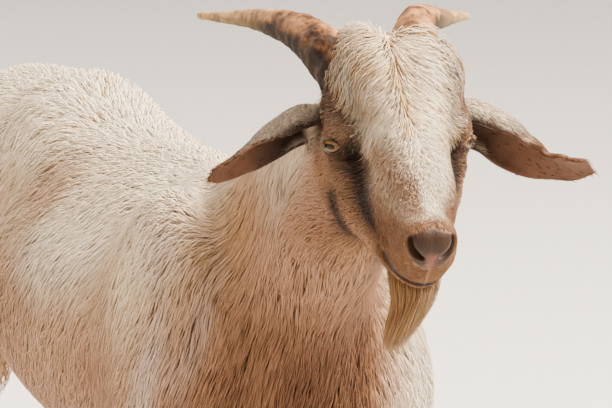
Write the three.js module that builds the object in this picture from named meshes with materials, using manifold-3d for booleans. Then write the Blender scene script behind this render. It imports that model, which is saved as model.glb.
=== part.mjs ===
// A standing goat with swept horns, half-lop ears and a beard, life size, in millimetres.
// X points to the goat's left, Y to its tail and Z up. The feet stand on Z = 0.
import * as THREE from 'three';
import { mergeVertices } from 'three/addons/utils/BufferGeometryUtils.js';
import Module from 'manifold-3d';

const wasm = await Module();
wasm.setup();

// Driving dimensions. All outlines reach the tips of the coat.
const withersHeight = 665;
const croupHeight = 674;
const trunkHalfWidth = 146;
const foreLegX = 86; // middle of each foreleg, from the midline
const hindLegX = 88;
const foreFootY = -216;
const hindFootY = 330;
const clawHeight = 42;
const eyeRadius = 13.5;
const headPlace = [2, -486, 722]; // midpoint between the eyes
const headPitch = 20; // degrees from level down to the line from eyes to nose
const headYaw = -11; // degrees, towards the goat's right
const headRoll = 1;
const gap = 0.35; // clearance between neighbouring solids
const leftAndRight = { left: 1, right: -1 };

const at = (x, y, z) => new THREE.Vector3(x, y, z);
const degrees = THREE.MathUtils.degToRad;
const { clamp, lerp, smoothstep } = THREE.MathUtils;

// The head is built level, with the midpoint of the eyes at its origin, and then placed.
const head = new THREE.Group();
head.position.set(...headPlace);
head.rotation.set(degrees(headPitch), degrees(headRoll), degrees(headYaw), 'ZXY');
head.updateMatrixWorld();
const worldToHead = head.matrixWorld.clone().invert();
const fromHead = (x, y, z) => at(x, y, z).applyMatrix4(head.matrixWorld);

// ---- Fields: functions of a point that are negative inside a form ----

// An ellipsoid, tilted about X, or about Y where roll is given.
function ball(centre, radii, tilt = 0, roll = 0) {
  const turn = new THREE.Quaternion()
    .setFromEuler(new THREE.Euler(degrees(tilt), degrees(roll), 0))
    .invert();
  const least = Math.min(...radii);
  const [rx, ry, rz] = radii;
  return (point) => {
    const p = point.clone().sub(centre).applyQuaternion(turn);
    const near = Math.hypot(p.x / rx, p.y / ry, p.z / rz);
    const slope = Math.hypot(p.x / rx ** 2, p.y / ry ** 2, p.z / rz ** 2);
    return slope < 1e-9 ? -least : (near * (near - 1)) / slope;
  };
}

// A tapered limb between two points. squeeze is its width over its depth.
function limb(from, to, fromRadius, toRadius, squeeze = 1) {
  const along = to.clone().sub(from);
  return (point) => {
    const p = point.clone().sub(from);
    const share = clamp(p.dot(along) / along.lengthSq(), 0, 1);
    p.addScaledVector(along, -share);
    p.x /= squeeze;
    return (p.length() - lerp(fromRadius, toRadius, share)) * Math.min(1, squeeze);
  };
}

// One smooth form from several, which run into each other over a length of about reach.
const blend = (reach, ...fields) => (point) =>
  fields.reduce((sum, field) => {
    const next = field(point);
    const close = Math.max(reach - Math.abs(sum - next), 0) / reach;
    return Math.min(sum, next) - (close * close * reach) / 4;
  }, 1e6);

// A chain of limbs through joints given as [point, radius].
const chain = (reach, joints, squeeze = 1) =>
  blend(reach, ...joints.slice(1).map(([point, radius], i) =>
    limb(joints[i][0], point, joints[i][1], radius, squeeze)));

// A form with a smooth hollow in it.
const hollowed = (reach, field, hollow) => (point) =>
  -blend(reach, (p) => -field(p), hollow)(point);

const mirrored = (field) => (point) =>
  Math.min(field(point), field(at(-point.x, point.y, point.z)));
const inHead = (field) => (point) => field(point.clone().applyMatrix4(worldToHead));

function slopeOf(field, point) {
  const step = 0.4;
  const slope = at(0, 0, 0);
  for (const axis of ['x', 'y', 'z']) {
    const ahead = point.clone();
    const behind = point.clone();
    ahead[axis] += step;
    behind[axis] -= step;
    slope[axis] = (field(ahead) - field(behind)) / (2 * step);
  }
  return slope;
}

// ---- From curves and fields to solids ----

const positionsOnly = (geometry) => {
  geometry.deleteAttribute('normal');
  geometry.deleteAttribute('uv');
  return mergeVertices(geometry, 1e-3);
};

// A capsule bent along a path, with its skin where reachOf(origin, direction, share) puts it.
function tube(path, reachOf, { sides, rings, caps = 2 }) {
  const spine = new THREE.CatmullRomCurve3(path);
  const geometry = new THREE.CapsuleGeometry(1, 1, caps, sides, rings);
  const { position, normal } = geometry.attributes;
  for (let i = 0; i < position.count; i++) {
    const share = clamp(position.getY(i) + 0.5, 0, 1);
    const along = spine.getTangent(share);
    const across = at(1, 0, 0).addScaledVector(along, -along.x).normalize();
    const above = across.clone().cross(along);
    const direction = across.multiplyScalar(normal.getX(i))
      .addScaledVector(along, normal.getY(i))
      .addScaledVector(above, normal.getZ(i));
    const origin = spine.getPoint(share);
    const reach = reachOf(origin, direction, share, normal.getX(i), normal.getZ(i));
    origin.addScaledVector(direction, reach);
    position.setXYZ(i, origin.x, origin.y, origin.z);
  }
  return positionsOnly(geometry);
}

// How far the field goes from an origin inside it, along a direction.
const surfaceOf = (field, furthest = 420) => (origin, direction) => {
  const valueAt = (reach) => field(origin.clone().addScaledVector(direction, reach));
  let inside = 0.5;
  let outside = inside;
  for (let value = valueAt(outside); value < 0 && outside < furthest; value = valueAt(outside)) {
    inside = outside;
    outside += Math.max(-value * 0.8, 1);
  }
  for (let i = 0; i < 14; i++) {
    const middle = (inside + outside) / 2;
    if (valueAt(middle) < 0) inside = middle;
    else outside = middle;
  }
  return inside;
};

function solid(geometry) {
  const plain = positionsOnly(geometry.clone());
  return new wasm.Manifold(new wasm.Mesh({
    numProp: 3,
    vertProperties: new Float32Array(plain.attributes.position.array),
    triVerts: new Uint32Array(plain.index.array),
  }));
}

function geometryOf(body) {
  const { vertProperties, triVerts } = body.getMesh();
  const geometry = new THREE.BufferGeometry();
  geometry.setAttribute('position', new THREE.BufferAttribute(vertProperties, 3));
  return geometry.setIndex(new THREE.BufferAttribute(triVerts, 1));
}

const joined = (bodies) => bodies.reduce((sum, body) => sum.add(body));

// Moves a body's skin onto a field, raised by level, so that what was joined runs together.
function faired(body, field, level = 0) {
  const geometry = geometryOf(body);
  const { position } = geometry.attributes;
  const point = at(0, 0, 0);
  for (let i = 0; i < position.count; i++) {
    point.fromBufferAttribute(position, i);
    for (let pass = 0; pass < 4; pass++) {
      const slope = slopeOf(field, point);
      const step = clamp((level - field(point)) / Math.max(slope.lengthSq(), 0.3), -12, 12);
      point.addScaledVector(slope, step);
    }
    position.setXYZ(i, point.x, point.y, point.z);
  }
  return solid(geometry);
}

// A block whose near face passes through a point, and which goes depth along a direction.
function block(point, direction, width, height, depth) {
  const geometry = new THREE.BoxGeometry(width, height, depth).translate(0, 0, depth / 2);
  const aim = new THREE.Quaternion().setFromUnitVectors(at(0, 0, 1), direction);
  geometry.applyQuaternion(aim).translate(point.x, point.y, point.z);
  return solid(geometry);
}

// ---- Anatomy of the trunk, neck, tail and legs ----

const trunkField = blend(56,
  ball(at(0, -95, 476), [trunkHalfWidth - 14, 225, 134]), // ribs
  ball(at(0, 50, 480), [trunkHalfWidth - 2, 210, 130], 7), // belly
  limb(at(0, -190, withersHeight - 84), at(0, -50, withersHeight - 106), 62, 58),
  limb(at(0, -50, withersHeight - 106), at(0, 90, withersHeight - 98), 58, 62), // back
  limb(at(0, 90, withersHeight - 98), at(0, 185, croupHeight - 80), 62, 64),
  limb(at(0, 185, croupHeight - 80), at(0, 320, croupHeight - 102), 64, 68),
  ball(at(0, 300, 545), [84, 98, 98], -18), // croup
  ball(at(0, -266, 480), [84, 86, 118], 8), // breast
  mirrored(ball(at(80, -222, 506), [49, 86, 130], -16)), // shoulders
  mirrored(ball(at(84, -262, 440), [44, 50, 64])), // points of the shoulders
  mirrored(ball(at(60, 298, 500), [55, 94, 118], 12)), // haunches
);

const neckField = blend(50,
  limb(at(0, -175, 574), at(-4, -402, 712), 66, 44, 0.86), // crest
  limb(at(0, -235, 496), at(-8, -412, 652), 86, 50, 0.82), // throat
);

const tailJoints = [
  [at(0, 370, 590), 32],
  [at(0, 430, 584), 26],
  [at(0, 466, 554), 22],
  [at(0, 479, 512), 10],
];
const tailField = chain(20, tailJoints, 0.9);

// Joints of each leg from the trunk to the coronet, as [sideways, y, z, radius].
const foreJoints = [
  [foreLegX, -230, 480, 46],
  [foreLegX + 4, -186, 398, 46],
  [foreLegX + 1, -190, 330, 35],
  [foreLegX, -195, 262, 26],
  [foreLegX, -201, 224, 27],
  [foreLegX, -194, 188, 19],
  [foreLegX, -191, 112, 18],
  [foreLegX, -194, 86, 22],
  [foreLegX, foreFootY + 6, 52, 21],
];
const hindJoints = [
  [hindLegX - 14, 300, 540, 62],
  [hindLegX + 3, 256, 438, 56],
  [hindLegX + 3, 272, 378, 45],
  [hindLegX, 320, 312, 28],
  [hindLegX, 366, 262, 25],
  [hindLegX, 361, 226, 21],
  [hindLegX, 350, 112, 18],
  [hindLegX, 350, 86, 23],
  [hindLegX, hindFootY, 52, 22],
];
const jointsOn = (side, joints) => joints.map(([x, y, z, r]) => [at(side * x, y, z), r]);
const heel = (side) => limb(at(side * hindLegX, 366, 262), at(side * hindLegX, 388, 290), 21, 12);
const legField = {
  fore: (side) => chain(22, jointsOn(side, foreJoints), 0.88),
  hind: (side) => blend(14, chain(22, jointsOn(side, hindJoints), 0.86), heel(side)),
};
const legJoints = { fore: foreJoints, hind: hindJoints };

// ---- Anatomy of the head, level, from the midpoint of the eyes ----

const eyeAt = [49.5, 5, -1.5]; // the left eye's centre
const eyeLook = at(0.84, -0.52, 0.12).normalize();
const eyeDish = ball(at(...eyeAt).addScaledVector(eyeLook, 21), [11.5, 13, 10]);
const noseMiddle = -2.5; // the nose turns a little to the goat's right
const besideNose = (x, y, z, radii) =>
  Object.values(leftAndRight).map((side) => ball(at(noseMiddle + side * x, y, z), radii));
const headField = inHead(hollowed(6, blend(15,
  ball(at(0, 34, 6), [60, 54, 52]), // cranium
  mirrored(ball(at(22, 42, 42), [39, 52, 42], 12)), // hair over the crown
  limb(at(0, 2, 12), at(0, -48, -11), 43, 32), // brow and bridge of the nose
  limb(at(0, -48, -12), at(0, -108, -31), 31, 21),
  mirrored(ball(at(42, 4, 15), [20, 25, 13])), // brows
  mirrored(ball(at(41, -4, -16), [17, 24, 12])), // below the eyes
  mirrored(ball(at(18, -50, -30), [19, 38, 26])), // cheekbones
  mirrored(ball(at(28, 6, -38), [30, 56, 38])), // cheeks
  mirrored(limb(at(26, 30, -62), at(9.5, -90, -60), 22, 14)), // jaw
  ball(at(0, -46, -60), [26, 60, 24]), // between the jaws
  ball(at(noseMiddle, -100, -32), [21, 29, 25], 6), // muzzle
  ...besideNose(8, -111, -39, [14, 17, 14]), // upper lip
  ball(at(noseMiddle, -103, -58), [15.5, 20, 13]), // chin
  ball(at(noseMiddle, -119, -20), [16, 12, 14], -16), // pad of the nose
  ...besideNose(9.5, -118, -19, [9.5, 11, 10]), // wings of the nostrils
), mirrored(eyeDish)));
const headPath = [
  fromHead(0, 52, 6),
  fromHead(0, 28, -2),
  fromHead(0, 0, -14),
  fromHead(0, -30, -24),
  fromHead(0, -60, -31),
  fromHead(0, -86, -35),
  fromHead(0, -103, -36),
];

const fleshField = blend(34,
  trunkField, blend(24, neckField, headField), tailField,
  ...Object.values(leftAndRight).flatMap((side) => [legField.fore(side), legField.hind(side)]));

// ---- The flesh: lofts along each part, joined and faired ----

const lofts = [
  tube([at(0, 315, 545), at(0, 160, 530), at(0, 0, 510), at(0, -130, 505), at(0, -250, 500)],
    surfaceOf(trunkField), { sides: 26, rings: 13, caps: 3 }),
  tube([at(0, -170, 570), at(-2, -260, 600), at(-5, -340, 650), at(-8, -405, 690)],
    surfaceOf(neckField), { sides: 18, rings: 7, caps: 2 }),
  tube(headPath, surfaceOf(headField), { sides: 26, rings: 17, caps: 3 }),
  tube(tailJoints.map(([point]) => point),
    surfaceOf(tailField), { sides: 8, rings: 6, caps: 2 }),
];
for (const side of Object.values(leftAndRight)) {
  for (const name of ['fore', 'hind']) {
    const path = jointsOn(side, legJoints[name]).map(([point]) => point);
    lofts.push(tube(path, surfaceOf(legField[name](side)), { sides: 9, rings: 12, caps: 1 }));
  }
}
const wholeFlesh = joined(lofts.map(solid));
let flesh = faired(wholeFlesh, fleshField);
const fleshGrown = faired(wholeFlesh, fleshField, gap);

// ---- Materials ----

const finish = (color, roughness, metalness = 0) =>
  new THREE.MeshStandardMaterial({ color, roughness, metalness });
const coat = finish(0xdcc9b2, 0.85);
const faceCoat = finish(0xcbb49a, 0.85);
const legCoat = finish(0xc9ad8c, 0.85);
const earCoat = finish(0xb89a80, 0.8);
const hornSheath = finish(0x9a7f66, 0.6);
const hoofHorn = finish(0x4a3d33, 0.55);
const eyeGloss = finish(0xb98a3e, 0.1);

const goat = new THREE.Group();
const add = (name, geometry, material) => {
  const mesh = new THREE.Mesh(geometry, material);
  mesh.name = name;
  goat.add(mesh);
};

// ---- Horns ----

const hornPaths = {
  left: [[22, 24, 26], [20, 46, 54], [25, 74, 62], [37, 105, 53], [56, 138, 38],
    [78, 170, 20], [101, 203, 2], [122, 235, -16]],
  right: [[-26, 24, 22], [-42, 45, 42], [-56, 72, 52], [-67, 100, 51], [-79, 135, 40],
    [-91, 170, 25], [-105, 203, 8], [-119, 235, -8]],
};
function hornGeometry(name, grown = 0) {
  const path = hornPaths[name].map((point) => fromHead(...point));
  const radiusAt = (origin, direction, share, sideways, upward) => {
    const taper = lerp(31, 3, smoothstep(share, -0.35, 1.12));
    const ridges = 1 + 0.04 * Math.sin(share * 52) * (1 - share);
    const oval = 1 + 0.14 * (upward ** 2 - sideways ** 2) * (1 - share);
    return taper * ridges * oval + grown;
  };
  return tube(path, radiusAt, { sides: 10, rings: 15, caps: 2 });
}

// ---- Ears: a leaf rolled into a tube at its root, which opens and flares at its tip ----

const earThickness = 4;
const midribs = {
  left: [[44, 62, -4], [72, 66, -6], [100, 61, -18], [121, 51, -33], [140, 39, -43],
    [158, 26, -43], [174, 15, -38]],
  right: [[-42, 62, -2], [-68, 66, -4], [-92, 61, -15], [-112, 52, -28], [-130, 41, -35],
    [-150, 27, -37]],
};
function earGeometry(name) {
  const side = leftAndRight[name];
  const midrib = new THREE.CatmullRomCurve3(midribs[name].map(([x, y, z]) => at(side * x, y, z)));
  const halfWidths = new THREE.SplineCurve([
    new THREE.Vector2(0, 25), new THREE.Vector2(0.25, 33), new THREE.Vector2(0.45, 29),
    new THREE.Vector2(0.7, 22), new THREE.Vector2(0.9, 20), new THREE.Vector2(1, 11),
  ]);
  const opening = at(0.12, -0.9, -0.42).normalize();
  const geometry = new THREE.BoxGeometry(2, 1, 1, 7, 11, 1);
  const { position } = geometry.attributes;
  for (let i = 0; i < position.count; i++) {
    const share = position.getY(i) + 0.5;
    const across = position.getX(i); // -1 at the upper rim, 1 at the lower
    const along = midrib.getTangent(share);
    const inward = opening.clone().addScaledVector(along, -opening.dot(along)).normalize();
    const upward = inward.clone().cross(along).negate();
    const open = smoothstep(share, 0.35, 0.85);
    const curl = across < 0 ? lerp(2.1, 0.5, open) : lerp(1.5, 0.35, open);
    const width = halfWidths.getPoint(share).y * (across < 0 ? lerp(1.4, 1, open) : 1);
    const angle = across * curl;
    const level = (position.getZ(i) * earThickness) * (1 - 0.35 * Math.abs(across));
    const radius = width / curl;
    const point = midrib.getPoint(share)
      .addScaledVector(upward, (radius - level) * Math.sin(angle))
      .addScaledVector(inward, radius - (radius - level) * Math.cos(angle));
    point.x *= side;
    point.applyMatrix4(head.matrixWorld);
    position.setXYZ(i, point.x, point.y, point.z);
  }
  if (side < 0) geometry.index.array.reverse();
  return positionsOnly(geometry);
}

// ---- Feet: two claws each, flat underneath ----

function clawGeometry(x, y, inner, grown = 0) {
  const geometry = new THREE.CylinderGeometry(
    10.5 + grown, 15.5 + grown, clawHeight + grown, 12, 2);
  const { position } = geometry.attributes;
  for (let i = 0; i < position.count; i++) {
    const height = position.getY(i) + (clawHeight + grown) / 2; // above the floor
    const drop = 1 - height / clawHeight;
    const sideways = position.getX(i) * 0.84 * inner;
    const flatInner = Math.max(sideways, -8.6 - grown); // the claws face each other
    const forward = position.getZ(i) * 1.35 + drop * 13 - 4;
    position.setXYZ(i, x + flatInner * inner, y - forward, height);
  }
  return positionsOnly(geometry);
}

// ---- The beard hangs straight down from the chin, whatever the head's tilt ----

const chin = fromHead(0, -112, -66);
const beardField = blend(12,
  ball(chin.clone().add(at(-3, 18, -8)), [21, 30, 22]),
  limb(chin.clone().add(at(-3, 19, -20)), chin.clone().add(at(-6, 37, -56)), 18, 6, 0.95));
const beardPath = [at(-2, 12, -4), at(-3, 18, -26), at(-6, 36, -52)];

// ---- Taking the flesh apart with thin cuts ----

for (const [name, side] of Object.entries(leftAndRight)) {
  const eyeCentre = fromHead(side * eyeAt[0], eyeAt[1], eyeAt[2]);
  const eyeball = (radius) =>
    new THREE.SphereGeometry(radius, 12, 9).translate(...eyeCentre.toArray());
  add(`eye_${name}`, eyeball(eyeRadius), eyeGloss);
  flesh = flesh.subtract(solid(eyeball(eyeRadius + gap)));
  add(`horn_${name}`, hornGeometry(name), hornSheath);
  flesh = flesh.subtract(solid(hornGeometry(name, gap)));
  add(`ear_${name}`, geometryOf(solid(earGeometry(name)).subtract(fleshGrown)), earCoat);
  const nostril = new THREE.SphereGeometry(1, 10, 6).scale(8, 9, 3.6)
    .rotateY(degrees(side * 44)).translate(noseMiddle + side * 10.5, -129, -22)
    .applyMatrix4(head.matrixWorld);
  flesh = flesh.subtract(solid(nostril));
}
const beard = solid(tube(beardPath.map((point) => point.add(chin)),
  surfaceOf(beardField), { sides: 10, rings: 5, caps: 2 }));
add('beard', geometryOf(beard.subtract(fleshGrown)), coat);

for (const [name, side] of Object.entries(leftAndRight)) {
  for (const [end, legX, footY] of [['fore', foreLegX, foreFootY], ['hind', hindLegX, hindFootY]]) {
    for (const [place, inner] of [['inner', -1], ['outer', 1]]) {
      const clawX = side * (legX + inner * 10);
      const outward = side * inner;
      add(`claw_${end}_${name}_${place}`, clawGeometry(clawX, footY, outward), hoofHorn);
      flesh = flesh.subtract(solid(clawGeometry(clawX, footY, outward, gap)));
    }
  }
}

// Splits what lies past a plane from the flesh, and adds it as a node.
function partOff(name, material, point, direction, [width, height, depth]) {
  const aim = direction.clone().normalize();
  const inset = point.clone().addScaledVector(aim, gap);
  add(name, geometryOf(flesh.intersect(block(inset, aim, width, height, depth))), material);
  flesh = flesh.subtract(block(point, aim, width, height, depth));
}

partOff('head', faceCoat, at(0, -408, 690), at(0, -0.86, 0.5), [500, 420, 300]);
partOff('neck', coat, at(0, -262, 560), at(0, -0.8, 0.6), [500, 560, 300]);
partOff('tail', coat, at(0, 424, 560), at(0, 1, 0), [120, 220, 200]);
for (const [name, side] of Object.entries(leftAndRight)) {
  const kneeX = side * foreLegX;
  const hockX = side * hindLegX;
  partOff(`foreleg_${name}_lower`, legCoat, at(kneeX, -200, 222), at(0, 0, -1), [150, 200, 240]);
  partOff(`foreleg_${name}_upper`, coat, at(kneeX, -195, 366), at(side * 0.2, 0, -1),
    [160, 240, 200]);
  partOff(`hindleg_${name}_lower`, legCoat, at(hockX, 345, 252), at(0, 0, -1), [150, 200, 260]);
  partOff(`hindleg_${name}_upper`, coat, at(hockX, 280, 412), at(0, 0.5, -0.86), [172, 420, 240]);
}
add('trunk', geometryOf(flesh), coat);

// The origin is on the floor, under the middle of the whole goat.
const whole = new THREE.Group();
const bounds = new THREE.Box3().setFromObject(goat);
const middle = bounds.getCenter(at(0, 0, 0));
goat.position.set(-middle.x, -middle.y, -bounds.min.z);
whole.add(goat);

export default whole;
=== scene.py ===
import math

import bmesh
import bpy
import numpy as np
from mathutils import Matrix, Vector


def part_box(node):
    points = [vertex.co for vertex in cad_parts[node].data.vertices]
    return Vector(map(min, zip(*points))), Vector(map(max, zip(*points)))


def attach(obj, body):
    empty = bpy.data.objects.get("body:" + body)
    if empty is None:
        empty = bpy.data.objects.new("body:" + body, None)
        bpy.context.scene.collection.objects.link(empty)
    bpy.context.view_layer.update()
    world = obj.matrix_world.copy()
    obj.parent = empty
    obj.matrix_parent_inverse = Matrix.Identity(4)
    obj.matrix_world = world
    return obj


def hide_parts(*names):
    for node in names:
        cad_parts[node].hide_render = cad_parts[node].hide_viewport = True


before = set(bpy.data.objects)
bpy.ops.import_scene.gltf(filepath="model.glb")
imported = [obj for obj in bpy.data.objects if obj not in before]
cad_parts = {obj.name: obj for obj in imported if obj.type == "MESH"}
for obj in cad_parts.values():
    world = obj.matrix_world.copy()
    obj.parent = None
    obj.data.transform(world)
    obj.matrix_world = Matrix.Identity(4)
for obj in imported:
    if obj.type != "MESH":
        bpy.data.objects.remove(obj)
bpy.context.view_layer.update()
rng = np.random.default_rng(24)

# The goat is worked out in millimetres, as in the part's source: X to its left, Y to its tail.
headPose = {"pitch": 20.0, "yaw": -11.0, "roll": 1.0, "eyes": (2.0, -486.0, 722.0)}
eyeball = {"centre": (49.5, 5.0, -1.5), "look": (0.84, -0.52, 0.12), "radius": 13.5}
lids = {"halfWidth": 10.6, "upper": 4.9, "lower": 4.7, "thickness": 1.2, "tilt": 0.0}
coat = {"trunkDepth": 8.5, "neckDepth": 7.0, "crownDepth": 12.0, "legDepth": 2.4,
        "faceDepth": 3.0, "muzzleDepth": 1.0}


def unit(vectors):
    return vectors / np.maximum(np.linalg.norm(vectors, axis=-1, keepdims=True), 1e-9)


def turnAbout(axis, angle):
    return np.array(Matrix.Rotation(math.radians(angle), 3, axis))


def smooth(low, high, value):
    share = np.clip((value - low) / (high - low), 0, 1)
    return share * share * (3 - 2 * share)


def mix(low, high, share):
    return low + (high - low) * share


headTurn = (turnAbout("Z", headPose["yaw"]) @ turnAbout("X", headPose["pitch"])
            @ turnAbout("Y", headPose["roll"]))
headCentre = np.array(headPose["eyes"])


def toHead(points):
    return (points - headCentre) @ headTurn


def bent(h):
    # the head's places measured from the middle of the nose, which turns a little aside
    m = h + np.array((2.5, 0, 0)) * smooth(-50, -105, h[:, 1])[:, None]
    m[:, 0] = np.abs(m[:, 0])
    return m


def fromHead(points):
    return np.asarray(points, float) @ headTurn.T + headCentre


def boxCentre(node):
    low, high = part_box(node)
    return (np.array(low) + np.array(high)) * 500


# where the frame puts the goat: the eyes' nodes tell how far it was moved to its origin
eyePlace = np.array(eyeball["centre"])
goatShift = (boxCentre("eye_left") + boxCentre("eye_right")) / 2 - fromHead(eyePlace * (0, 1, 1))


def toFrame(points):
    return (np.asarray(points) + goatShift) / 1000


def toGoat(points):
    return np.asarray(points) * 1000 - goatShift


# ---- fields: negative inside a form, in millimetres ----

def ball(points, centre, radii, tilt=0.0):
    p = (points - np.array(centre)) @ turnAbout("X", tilt)
    scaled = p / np.array(radii)
    near = np.linalg.norm(scaled, axis=1)
    slope = np.linalg.norm(scaled / np.array(radii), axis=1)
    return near * (near - 1) / np.maximum(slope, 1e-6)


def limb(points, start, end, startRadius, endRadius, squeeze=1.0):
    start, end = np.array(start, float), np.array(end, float)
    along = end - start
    p = points - start
    share = np.clip(p @ along / (along @ along), 0, 1)
    p = p - share[:, None] * along
    p[:, 0] /= squeeze
    return (np.linalg.norm(p, axis=1) - mix(startRadius, endRadius, share)) * min(1, squeeze)


def blend(reach, *values):
    total = np.full(len(values[0]), 1e6)
    for value in values:
        close = np.maximum(reach - np.abs(total - value), 0) / reach
        total = np.minimum(total, value) - close * close * reach / 4
    return total


def chain(points, reach, joints, squeeze=1.0):
    return blend(reach, *[limb(points, a[:3], b[:3], a[3], b[3], squeeze)
                          for a, b in zip(joints, joints[1:])])


def pair(field, points, centre, *shape):
    x, y, z = centre
    return np.minimum(field(points, (x, y, z), *shape), field(points, (-x, y, z), *shape))


trunkForm = {"withersHeight": 665, "croupHeight": 674, "halfWidth": 146}
foreJoints = [(86, -230, 480, 46), (90, -186, 398, 46), (87, -190, 330, 35), (86, -195, 262, 26),
              (86, -201, 224, 27), (86, -194, 188, 19), (86, -191, 112, 18), (86, -194, 86, 22),
              (86, -210, 52, 21)]
hindJoints = [(74, 300, 540, 62), (91, 256, 438, 56), (91, 272, 378, 45), (88, 320, 312, 28),
              (88, 366, 262, 25), (88, 361, 226, 21), (88, 350, 112, 18), (88, 350, 86, 23),
              (88, 330, 52, 22)]
tailJoints = [(0, 370, 590, 32), (0, 430, 584, 26), (0, 466, 554, 22), (0, 479, 512, 10)]


def trunkField(p):
    withers, croup = trunkForm["withersHeight"], trunkForm["croupHeight"]
    width = trunkForm["halfWidth"]
    return blend(
        56,
        ball(p, (0, -95, 476), (width - 14, 225, 134)),
        ball(p, (0, 50, 480), (width - 2, 210, 130), 7),
        limb(p, (0, -190, withers - 84), (0, -50, withers - 106), 62, 58),
        limb(p, (0, -50, withers - 106), (0, 90, withers - 98), 58, 62),
        limb(p, (0, 90, withers - 98), (0, 185, croup - 80), 62, 64),
        limb(p, (0, 185, croup - 80), (0, 320, croup - 102), 64, 68),
        ball(p, (0, 300, 545), (84, 98, 98), -18),
        ball(p, (0, -266, 480), (84, 86, 118), 8),
        pair(ball, p, (80, -222, 506), (49, 86, 130), -16),
        pair(ball, p, (84, -262, 440), (44, 50, 64)),
        pair(ball, p, (60, 298, 500), (55, 94, 118), 12),
    )


def neckField(p):
    return blend(50,
                 limb(p, (0, -175, 574), (-4, -402, 712), 66, 44, 0.86),
                 limb(p, (0, -235, 496), (-8, -412, 652), 86, 50, 0.82))


def legFields(p):
    fields = []
    for side in (1, -1):
        q = p * (side, 1, 1)
        fields.append(chain(q, 22, foreJoints, 0.88))
        fields.append(blend(14, chain(q, 22, hindJoints, 0.86),
                            limb(q, (88, 366, 262), (88, 388, 290), 21, 12)))
    return fields


eyeAxis = unit(np.array(eyeball["look"]))
plumb = np.array((0, 0, 1)) @ headTurn  # straight up, as the head has it
dishCentre = eyePlace + eyeAxis * 21


def headField(points):
    p = toHead(points)
    m = p * (1, 1, 1)
    m[:, 0] = np.abs(m[:, 0])
    form = blend(
        15,
        ball(p, (0, 34, 6), (60, 54, 52)),
        ball(m, (22, 42, 42), (39, 52, 42), 12),
        limb(p, (0, 2, 12), (0, -48, -11), 43, 32),
        limb(p, (0, -48, -12), (0, -108, -31), 31, 21),
        ball(m, (42, 4, 15), (20, 25, 13)),
        ball(m, (41, -4, -16), (17, 24, 12)),
        ball(m, (18, -50, -30), (19, 38, 26)),
        ball(m, (28, 6, -38), (30, 56, 38)),
        limb(m, (26, 30, -62), (9.5, -90, -60), 22, 14),
        ball(p, (0, -46, -60), (26, 60, 24)),
        ball(p, (-2.5, -100, -32), (21, 29, 25), 6),
        pair(ball, p + (2.5, 0, 0), (8, -111, -39), (14, 17, 14)),
        ball(p, (-2.5, -103, -58), (15.5, 20, 13)),
        ball(p, (-2.5, -119, -20), (16, 12, 14), -16),
        pair(ball, p + (2.5, 0, 0), (9.5, -118, -19), (9.5, 11, 10)),
    )
    dished = -blend(6, -form, ball(m, dishCentre, (11.5, 13, 10)))
    lidRadius = eyeball["radius"] + lids["thickness"] + coat["faceDepth"]
    return blend(5, dished, np.linalg.norm(m - eyePlace, axis=1) - lidRadius)


def fleshField(p):
    return blend(30, trunkField(p), blend(24, neckField(p), headField(p)),
                 chain(p, 20, tailJoints, 0.9), *legFields(p))


def curveAt(points, share):
    # a smooth curve through points, at shares of its length in steps
    points = np.asarray(points, float)
    share = np.clip(np.asarray(share, float), 0, 1) * (len(points) - 1)
    index = np.minimum(share.astype(int), len(points) - 2)
    t = (share - index)[..., None]
    p = [points[np.clip(index + step, 0, len(points) - 1)] for step in (-1, 0, 1, 2)]
    return 0.5 * (2 * p[1] + (p[2] - p[0]) * t + (2 * p[0] - 5 * p[1] + 4 * p[2] - p[3]) * t * t
                  + (3 * p[1] - p[0] - 3 * p[2] + p[3]) * t ** 3)


def slopeOf(field, points, value=None, step=0.6):
    value = field(points) if value is None else value
    slope = np.empty_like(points)
    for axis in range(3):
        ahead = points.copy()
        ahead[:, axis] += step
        slope[:, axis] = (field(ahead) - value) / step
    return slope


def lobe(points, centre, radii):
    # 1 at the centre of a soft blob, 0 outside it
    reach = np.linalg.norm((points - np.array(centre)) / np.array(radii), axis=-1)
    return 1 - smooth(0.35, 1.0, reach)


# soft waves and patches over a surface, from a few fixed sines: about -1 to 1
waveTurns = np.random.default_rng(5).normal(size=(9, 3))
wavePhases = np.random.default_rng(6).uniform(0, 6.28, 9)


def ripple(points, size, seed=0):
    turns = unit(np.roll(waveTurns, seed, axis=0)) * (1 + 0.5 * np.cos(wavePhases + seed))[:, None]
    waves = np.sin(points @ turns.T * (6.28 / size) + wavePhases + seed * 1.7)
    return waves.mean(axis=1) * 2.2


# ---- the coat: how deep it is, which way it lies, how long and wide its locks are ----

def regions(points):
    # how much each point belongs to each region of the body
    h = toHead(points)
    x = np.abs(h[:, 0])
    inHead = smooth(88, 34, h[:, 1]) * smooth(-150, -98, h[:, 2])
    inHead *= smooth(-300, -360, points[:, 1])
    crown = lobe(np.c_[x, h[:, 1:]], (8, 32, 62), (82, 72, 62)) * inHead
    muzzle = smooth(-70, -98, h[:, 1]) * inHead
    legTop = np.where(points[:, 1] < 80, 350, 400)
    leg = smooth(legTop + 30, legTop - 60, points[:, 2])
    neck = smooth(-200, -290, points[:, 1]) * (1 - inHead)
    tail = smooth(405, 440, points[:, 1]) * smooth(440, 480, points[:, 2])
    return {"head": inHead, "crown": crown, "muzzle": muzzle, "leg": leg,
            "neck": neck, "tail": tail, "local": h}


def coatDepth(points, where=None):
    w = regions(points) if where is None else where
    lowerLeg = smooth(300, 200, points[:, 2])
    depth = mix(coat["trunkDepth"], coat["neckDepth"], w["neck"])
    depth = mix(depth, mix(7.0, coat["legDepth"], lowerLeg), w["leg"])
    depth = mix(depth, 10.0, w["tail"])
    h = w["local"]
    face = mix(coat["faceDepth"], 6.5, smooth(10, 60, h[:, 1]))
    depth = mix(depth, face, w["head"])
    depth = mix(depth, coat["crownDepth"], w["crown"])
    return mix(depth, coat["muzzleDepth"], w["muzzle"])


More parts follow.
